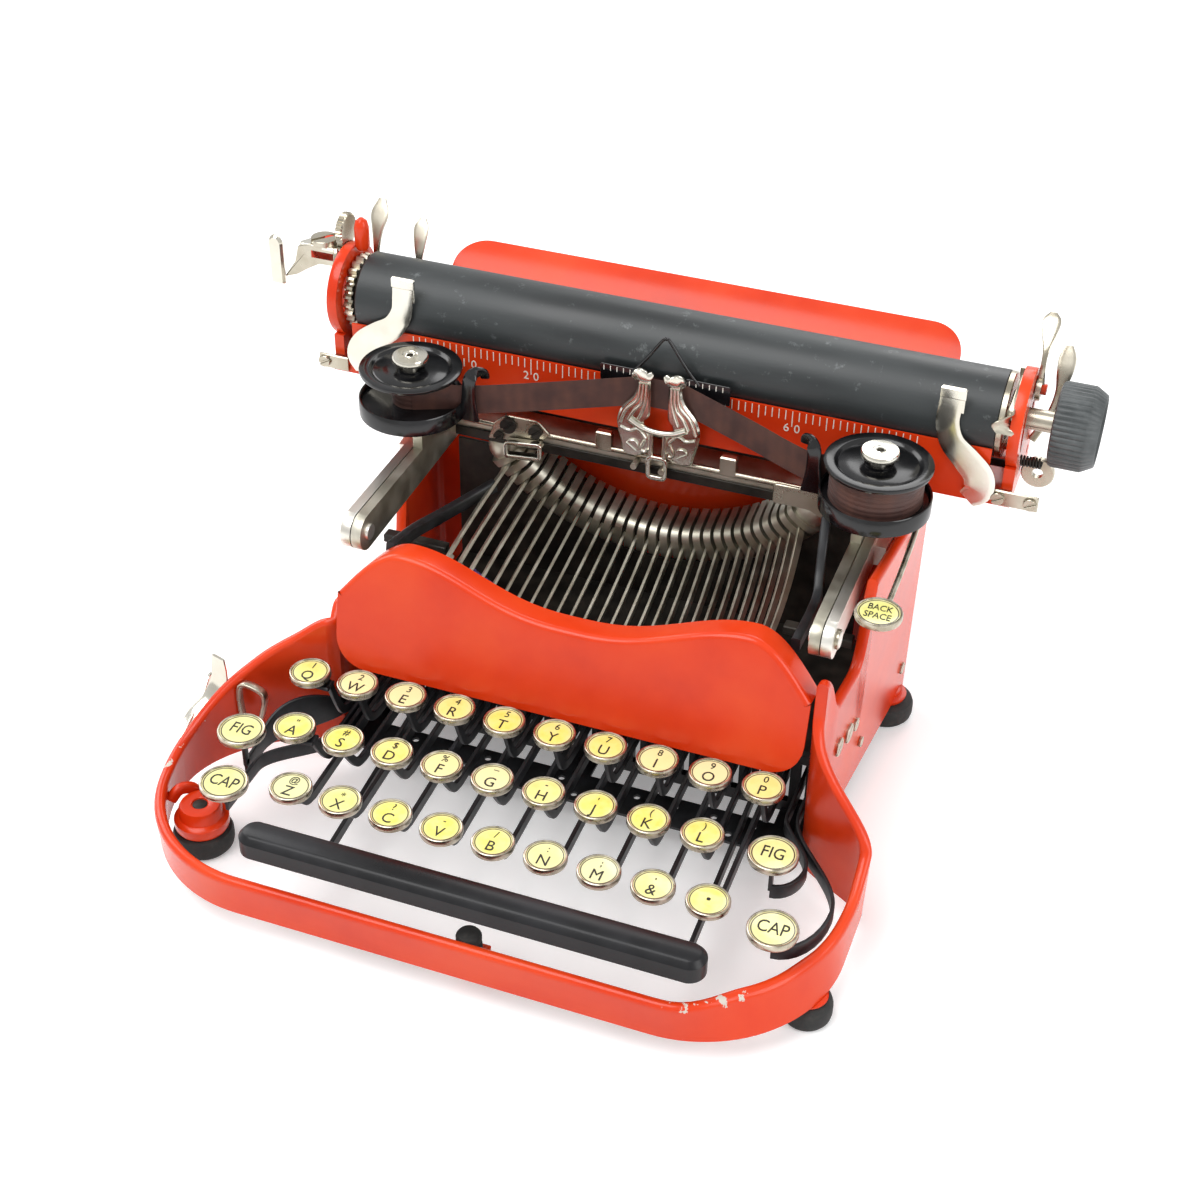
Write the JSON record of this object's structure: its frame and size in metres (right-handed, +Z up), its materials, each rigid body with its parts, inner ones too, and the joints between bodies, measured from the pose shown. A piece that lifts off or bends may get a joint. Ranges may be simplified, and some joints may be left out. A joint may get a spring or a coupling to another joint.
{
  "type": "folding typewriter",
  "caption": "Folding portable typewriter with three rows of round keys, a type basket, ribbon spools and a platen carriage that folds forward over the keyboard.",
  "frame": {"origin": "on the ground under the middle of the whole machine, in the plane of the rubber feet", "axes": "+X to the typist's right, +Y to the rear, +Z up"},
  "size_m": [0.3236, 0.2502, 0.181],
  "materials": {
    "red_enamel": "gloss enamel",
    "black_enamel": "gloss enamel",
    "key_black": "gloss enamel on steel",
    "nickel": "nickel plate",
    "steel": "aged plated steel",
    "black_rubber": "moulded rubber",
    "platen_rubber": "ground rubber",
    "knob_grey": "moulded hard rubber",
    "bar_black": "moulded, satin",
    "ribbon_cloth": "inked cotton tape"
  },
  "bodies": {
    "base": {"base_frame": "red_enamel", "front_panel": "red_enamel", "rubber_feet": "black_rubber", "typebar_segment": "steel", "typebars": "steel", "key_guide": "black_enamel", "fold_arms": "nickel"},
    "key_top_1": {"key_top_1": "key_black"},
    "key_top_2": {"key_top_2": "key_black"},
    "key_top_3": {"key_top_3": "key_black"},
    "key_top_4": {"key_top_4": "key_black"},
    "key_top_5": {"key_top_5": "key_black"},
    "key_top_6": {"key_top_6": "key_black"},
    "key_top_7": {"key_top_7": "key_black"},
    "key_top_8": {"key_top_8": "key_black"},
    "key_top_9": {"key_top_9": "key_black"},
    "key_top_10": {"key_top_10": "key_black"},
    "key_mid_1": {"key_mid_1": "key_black"},
    "key_mid_2": {"key_mid_2": "key_black"},
    "key_mid_3": {"key_mid_3": "key_black"},
    "key_mid_4": {"key_mid_4": "key_black"},
    "key_mid_5": {"key_mid_5": "key_black"},
    "key_mid_6": {"key_mid_6": "key_black"},
    "key_mid_7": {"key_mid_7": "key_black"},
    "key_mid_8": {"key_mid_8": "key_black"},
    "key_mid_9": {"key_mid_9": "key_black"},
    "key_low_1": {"key_low_1": "key_black"},
    "key_low_2": {"key_low_2": "key_black"},
    "key_low_3": {"key_low_3": "key_black"},
    "key_low_4": {"key_low_4": "key_black"},
    "key_low_5": {"key_low_5": "key_black"},
    "key_low_6": {"key_low_6": "key_black"},
    "key_low_7": {"key_low_7": "key_black"},
    "key_low_8": {"key_low_8": "key_black"},
    "key_low_9": {"key_low_9": "key_black"},
    "space_bar": {"space_bar": "bar_black"},
    "cap_shift": {"cap_shift": "key_black"},
    "fig_shift": {"fig_shift": "key_black"},
    "shift_lock": {"shift_lock": "nickel"},
    "backspace_key": {"backspace_key": "nickel"},
    "spool_left": {"spool_left": "black_enamel"},
    "spool_right": {"spool_right": "black_enamel"},
    "ribbon_vibrator": {"ribbon_vibrator": "nickel"},
    "shift_frame": {"shift_frame": "steel"},
    "carriage_rail": {"carriage_rail": "steel"},
    "paper_finger_left": {"paper_finger_left": "nickel"},
    "paper_finger_right": {"paper_finger_right": "nickel"},
    "line_space_lever": {"line_space_lever": "nickel"},
    "paper_release_lever": {"paper_release_lever": "nickel"},
    "carriage_release_lever": {"carriage_release_lever": "nickel"},
    "feed_roller": {"feed_roller": "black_rubber"},
    "mainspring_drum": {"mainspring_drum": "steel"},
    "swing": {"swing_frame": "steel", "ribbon_cups": "black_enamel", "line_indicator": "black_enamel", "ribbon": "ribbon_cloth"},
    "carriage": {"carriage_frame": "red_enamel", "paper_table": "red_enamel"},
    "platen": {"platen": "platen_rubber", "platen_knob": "knob_grey"}
  },
  "joints": [
    {"name": "key_top_1_press", "type": "hinge", "parent": "base", "child": "key_top_1", "pos_m": [0.00225, 0.03685, 0.028], "axis": [1, 0, 0], "range_deg": [0, 6.4], "stiffness_Nm_per_rad": 0.12, "springref_deg": -11.46},
    {"name": "key_top_2_press", "type": "hinge", "parent": "base", "child": "key_top_2", "pos_m": [0.00225, 0.03685, 0.028], "axis": [1, 0, 0], "range_deg": [0, 6.4], "stiffness_Nm_per_rad": 0.12, "springref_deg": -11.46},
    {"name": "key_top_3_press", "type": "hinge", "parent": "base", "child": "key_top_3", "pos_m": [0.00225, 0.03685, 0.028], "axis": [1, 0, 0], "range_deg": [0, 6.4], "stiffness_Nm_per_rad": 0.12, "springref_deg": -11.46},
    {"name": "key_top_4_press", "type": "hinge", "parent": "base", "child": "key_top_4", "pos_m": [0.00225, 0.03685, 0.028], "axis": [1, 0, 0], "range_deg": [0, 6.4], "stiffness_Nm_per_rad": 0.12, "springref_deg": -11.46},
    {"name": "key_top_5_press", "type": "hinge", "parent": "base", "child": "key_top_5", "pos_m": [0.00225, 0.03685, 0.028], "axis": [1, 0, 0], "range_deg": [0, 6.4], "stiffness_Nm_per_rad": 0.12, "springref_deg": -11.46},
    {"name": "key_top_6_press", "type": "hinge", "parent": "base", "child": "key_top_6", "pos_m": [0.00225, 0.03685, 0.028], "axis": [1, 0, 0], "range_deg": [0, 6.4], "stiffness_Nm_per_rad": 0.12, "springref_deg": -11.46},
    {"name": "key_top_7_press", "type": "hinge", "parent": "base", "child": "key_top_7", "pos_m": [0.00225, 0.03685, 0.028], "axis": [1, 0, 0], "range_deg": [0, 6.4], "stiffness_Nm_per_rad": 0.12, "springref_deg": -11.46},
    {"name": "key_top_8_press", "type": "hinge", "parent": "base", "child": "key_top_8", "pos_m": [0.00225, 0.03685, 0.028], "axis": [1, 0, 0], "range_deg": [0, 6.4], "stiffness_Nm_per_rad": 0.12, "springref_deg": -11.46},
    {"name": "key_top_9_press", "type": "hinge", "parent": "base", "child": "key_top_9", "pos_m": [0.00225, 0.03685, 0.028], "axis": [1, 0, 0], "range_deg": [0, 6.4], "stiffness_Nm_per_rad": 0.12, "springref_deg": -11.46},
    {"name": "key_top_10_press", "type": "hinge", "parent": "base", "child": "key_top_10", "pos_m": [0.00225, 0.03685, 0.028], "axis": [1, 0, 0], "range_deg": [0, 6.4], "stiffness_Nm_per_rad": 0.12, "springref_deg": -11.46},
    {"name": "key_mid_1_press", "type": "hinge", "parent": "base", "child": "key_mid_1", "pos_m": [0.00225, 0.03685, 0.028], "axis": [1, 0, 0], "range_deg": [0, 5.6], "stiffness_Nm_per_rad": 0.12, "springref_deg": -11.46},
    {"name": "key_mid_2_press", "type": "hinge", "parent": "base", "child": "key_mid_2", "pos_m": [0.00225, 0.03685, 0.028], "axis": [1, 0, 0], "range_deg": [0, 5.6], "stiffness_Nm_per_rad": 0.12, "springref_deg": -11.46},
    {"name": "key_mid_3_press", "type": "hinge", "parent": "base", "child": "key_mid_3", "pos_m": [0.00225, 0.03685, 0.028], "axis": [1, 0, 0], "range_deg": [0, 5.6], "stiffness_Nm_per_rad": 0.12, "springref_deg": -11.46},
    {"name": "key_mid_4_press", "type": "hinge", "parent": "base", "child": "key_mid_4", "pos_m": [0.00225, 0.03685, 0.028], "axis": [1, 0, 0], "range_deg": [0, 5.6], "stiffness_Nm_per_rad": 0.12, "springref_deg": -11.46},
    {"name": "key_mid_5_press", "type": "hinge", "parent": "base", "child": "key_mid_5", "pos_m": [0.00225, 0.03685, 0.028], "axis": [1, 0, 0], "range_deg": [0, 5.6], "stiffness_Nm_per_rad": 0.12, "springref_deg": -11.46},
    {"name": "key_mid_6_press", "type": "hinge", "parent": "base", "child": "key_mid_6", "pos_m": [0.00225, 0.03685, 0.028], "axis": [1, 0, 0], "range_deg": [0, 5.6], "stiffness_Nm_per_rad": 0.12, "springref_deg": -11.46},
    {"name": "key_mid_7_press", "type": "hinge", "parent": "base", "child": "key_mid_7", "pos_m": [0.00225, 0.03685, 0.028], "axis": [1, 0, 0], "range_deg": [0, 5.6], "stiffness_Nm_per_rad": 0.12, "springref_deg": -11.46},
    {"name": "key_mid_8_press", "type": "hinge", "parent": "base", "child": "key_mid_8", "pos_m": [0.00225, 0.03685, 0.028], "axis": [1, 0, 0], "range_deg": [0, 5.6], "stiffness_Nm_per_rad": 0.12, "springref_deg": -11.46},
    {"name": "key_mid_9_press", "type": "hinge", "parent": "base", "child": "key_mid_9", "pos_m": [0.00225, 0.03685, 0.028], "axis": [1, 0, 0], "range_deg": [0, 5.6], "stiffness_Nm_per_rad": 0.12, "springref_deg": -11.46},
    {"name": "key_low_1_press", "type": "hinge", "parent": "base", "child": "key_low_1", "pos_m": [0.00225, 0.03685, 0.028], "axis": [1, 0, 0], "range_deg": [0, 5], "stiffness_Nm_per_rad": 0.12, "springref_deg": -11.46},
    {"name": "key_low_2_press", "type": "hinge", "parent": "base", "child": "key_low_2", "pos_m": [0.00225, 0.03685, 0.028], "axis": [1, 0, 0], "range_deg": [0, 5], "stiffness_Nm_per_rad": 0.12, "springref_deg": -11.46},
    {"name": "key_low_3_press", "type": "hinge", "parent": "base", "child": "key_low_3", "pos_m": [0.00225, 0.03685, 0.028], "axis": [1, 0, 0], "range_deg": [0, 5], "stiffness_Nm_per_rad": 0.12, "springref_deg": -11.46},
    {"name": "key_low_4_press", "type": "hinge", "parent": "base", "child": "key_low_4", "pos_m": [0.00225, 0.03685, 0.028], "axis": [1, 0, 0], "range_deg": [0, 5], "stiffness_Nm_per_rad": 0.12, "springref_deg": -11.46},
    {"name": "key_low_5_press", "type": "hinge", "parent": "base", "child": "key_low_5", "pos_m": [0.00225, 0.03685, 0.028], "axis": [1, 0, 0], "range_deg": [0, 5], "stiffness_Nm_per_rad": 0.12, "springref_deg": -11.46},
    {"name": "key_low_6_press", "type": "hinge", "parent": "base", "child": "key_low_6", "pos_m": [0.00225, 0.03685, 0.028], "axis": [1, 0, 0], "range_deg": [0, 5], "stiffness_Nm_per_rad": 0.12, "springref_deg": -11.46},
    {"name": "key_low_7_press", "type": "hinge", "parent": "base", "child": "key_low_7", "pos_m": [0.00225, 0.03685, 0.028], "axis": [1, 0, 0], "range_deg": [0, 5], "stiffness_Nm_per_rad": 0.12, "springref_deg": -11.46},
    {"name": "key_low_8_press", "type": "hinge", "parent": "base", "child": "key_low_8", "pos_m": [0.00225, 0.03685, 0.028], "axis": [1, 0, 0], "range_deg": [0, 5], "stiffness_Nm_per_rad": 0.12, "springref_deg": -11.46},
    {"name": "key_low_9_press", "type": "hinge", "parent": "base", "child": "key_low_9", "pos_m": [0.00225, 0.03685, 0.028], "axis": [1, 0, 0], "range_deg": [0, 5], "stiffness_Nm_per_rad": 0.12, "springref_deg": -11.46},
    {"name": "space_bar_press", "type": "hinge", "parent": "base", "child": "space_bar", "pos_m": [0.00225, 0.03685, 0.028], "axis": [1, 0, 0], "range_deg": [0, 2.6], "stiffness_Nm_per_rad": 0.6, "springref_deg": -14.32},
    {"name": "shift_lock_turn", "type": "hinge", "parent": "base", "child": "shift_lock", "pos_m": [-0.13375, -0.06615, 0.022], "axis": [1, 0, 0], "range_deg": [0, 15]},
    {"name": "cap_shift_press", "type": "hinge", "parent": "base", "child": "cap_shift", "pos_m": [0.00225, 0.03685, 0.028], "axis": [1, 0, 0], "range_deg": [0, 4]},
    {"name": "fig_shift_press", "type": "hinge", "parent": "base", "child": "fig_shift", "pos_m": [0.00225, 0.03685, 0.028], "axis": [1, 0, 0], "range_deg": [0, 4]},
    {"name": "carriage_fold", "type": "hinge", "parent": "base", "child": "swing", "pos_m": [0.00225, -0.01065, 0.097], "axis": [1, 0, 0], "range_deg": [0, 155]},
    {"name": "backspace_press", "type": "hinge", "parent": "swing", "child": "backspace_key", "pos_m": [0.10525, 0.04785, 0.1125], "axis": [1, 0, 0], "range_deg": [0, 5.5], "stiffness_Nm_per_rad": 0.05, "springref_deg": -14.32},
    {"name": "spool_left_turn", "type": "hinge", "parent": "swing", "child": "spool_left", "pos_m": [-0.08665, 0.04235, 0.128], "axis": [0, 0, 1], "continuous": true},
    {"name": "spool_right_turn", "type": "hinge", "parent": "swing", "child": "spool_right", "pos_m": [0.09115, 0.04235, 0.128], "axis": [0, 0, 1], "continuous": true},
    {"name": "vibrator_lift", "type": "slide", "parent": "swing", "child": "ribbon_vibrator", "axis": [0, 0, 1], "range_m": [0, 0.008], "deforming": ["ribbon"]},
    {"name": "cap_lift", "type": "slide", "parent": "swing", "child": "shift_frame", "axis": [0, 0, 1], "range_m": [0, 0.0055]},
    {"name": "fig_lift", "type": "slide", "parent": "shift_frame", "child": "carriage_rail", "axis": [0, 0, 1], "range_m": [0, 0.011]},
    {"name": "carriage_slide", "type": "slide", "parent": "carriage_rail", "child": "carriage", "axis": [1, 0, 0], "range_m": [-0.08, 0.08]},
    {"name": "mainspring_turn", "type": "hinge", "parent": "carriage_rail", "child": "mainspring_drum", "pos_m": [-0.09775, 0.09985, 0.0944], "axis": [0, 1, 0], "range_deg": [-382, 382]},
    {"name": "platen_turn", "type": "hinge", "parent": "carriage", "child": "platen", "pos_m": [0.00225, 0.08015, 0.142], "axis": [1, 0, 0], "continuous": true},
    {"name": "feed_roller_turn", "type": "hinge", "parent": "carriage", "child": "feed_roller", "pos_m": [0.00225, 0.08015, 0.1216], "axis": [1, 0, 0], "continuous": true},
    {"name": "line_space", "type": "hinge", "parent": "carriage", "child": "line_space_lever", "pos_m": [-0.13775, 0.08185, 0.158], "axis": [0, 0, 1], "range_deg": [0, 20], "stiffness_Nm_per_rad": 0.02, "springref_deg": -5.73},
    {"name": "paper_release", "type": "hinge", "parent": "carriage", "child": "paper_release_lever", "pos_m": [0.13675, 0.08785, 0.15], "axis": [1, 0, 0], "range_deg": [0, 18], "stiffness_Nm_per_rad": 0.03, "springref_deg": -17.19},
    {"name": "carriage_release", "type": "hinge", "parent": "carriage", "child": "carriage_release_lever", "pos_m": [0.00225, 0.09585, 0.12], "axis": [1, 0, 0], "range_deg": [-14, 0], "stiffness_Nm_per_rad": 0.1, "springref_deg": 22.92},
    {"name": "finger_left_slide", "type": "slide", "parent": "carriage", "child": "paper_finger_left", "axis": [1, 0, 0], "range_m": [0, 0.03]},
    {"name": "finger_right_slide", "type": "slide", "parent": "carriage", "child": "paper_finger_right", "axis": [-1, 0, 0], "range_m": [0, 0.03]}
  ],
  "couplings": [
    {"joint": "cap_shift_press", "follows": "cap_lift", "rad_per_m": 12.693},
    {"joint": "fig_shift_press", "follows": "fig_lift", "rad_per_m": 6.3461},
    {"joint": "mainspring_turn", "follows": "carriage_slide", "rad_per_m": 83.333},
    {"joint": "feed_roller_turn", "follows": "platen_turn", "ratio": -3.4667},
    {"joint": "spool_left_turn", "follows": "spool_right_turn", "ratio": 1.375}
  ]
}
